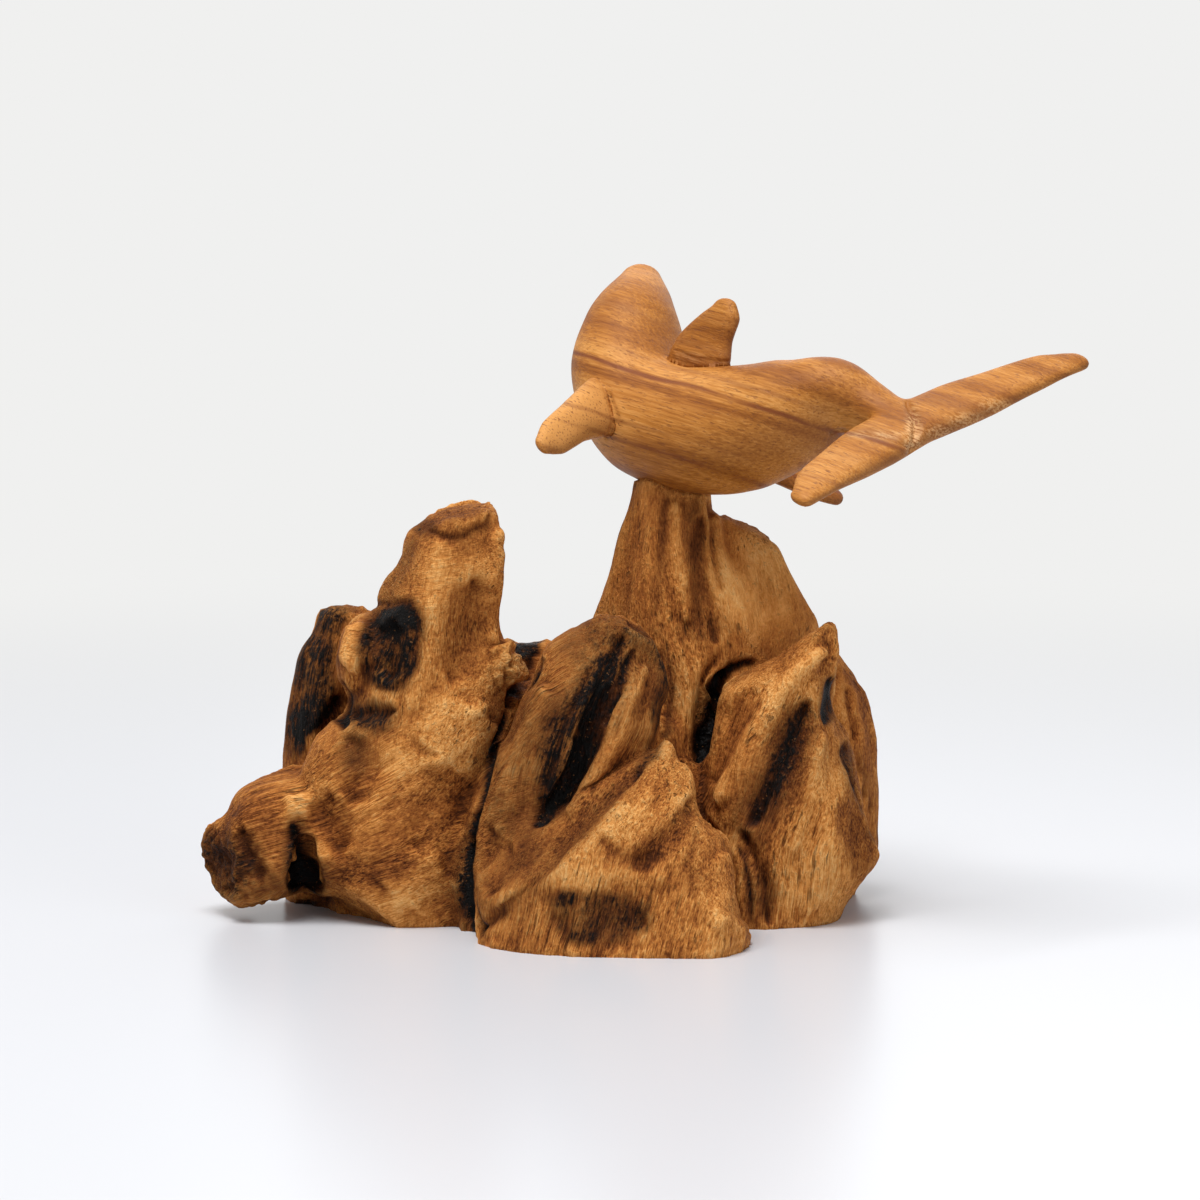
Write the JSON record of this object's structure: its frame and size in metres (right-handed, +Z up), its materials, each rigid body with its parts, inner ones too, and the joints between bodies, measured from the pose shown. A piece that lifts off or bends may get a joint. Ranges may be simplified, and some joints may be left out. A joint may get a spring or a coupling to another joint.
{
  "type": "wooden dolphin sculpture",
  "caption": "Carved wooden dolphin with glued-in fins, leaping over a gnarled root whose sawn underside stands on a shelf.",
  "frame": {"origin": "middle of the root's sawn underside, in its plane", "axes": "+Z up, +X to the viewer's right towards the dolphin's tail, -Y to the front where the root's low foot points"},
  "size_m": [0.1772, 0.1056, 0.1301],
  "materials": {
    "pale_wood": "satin",
    "root_wood": "matte",
    "dowel_wood": "matte"
  },
  "bodies": {
    "root": {"root_base": "root_wood", "dolphin_body": "pale_wood", "dorsal_fin": "pale_wood", "left_flipper": "pale_wood", "right_flipper": "pale_wood", "support_dowel": "dowel_wood"}
  },
  "joints": []
}
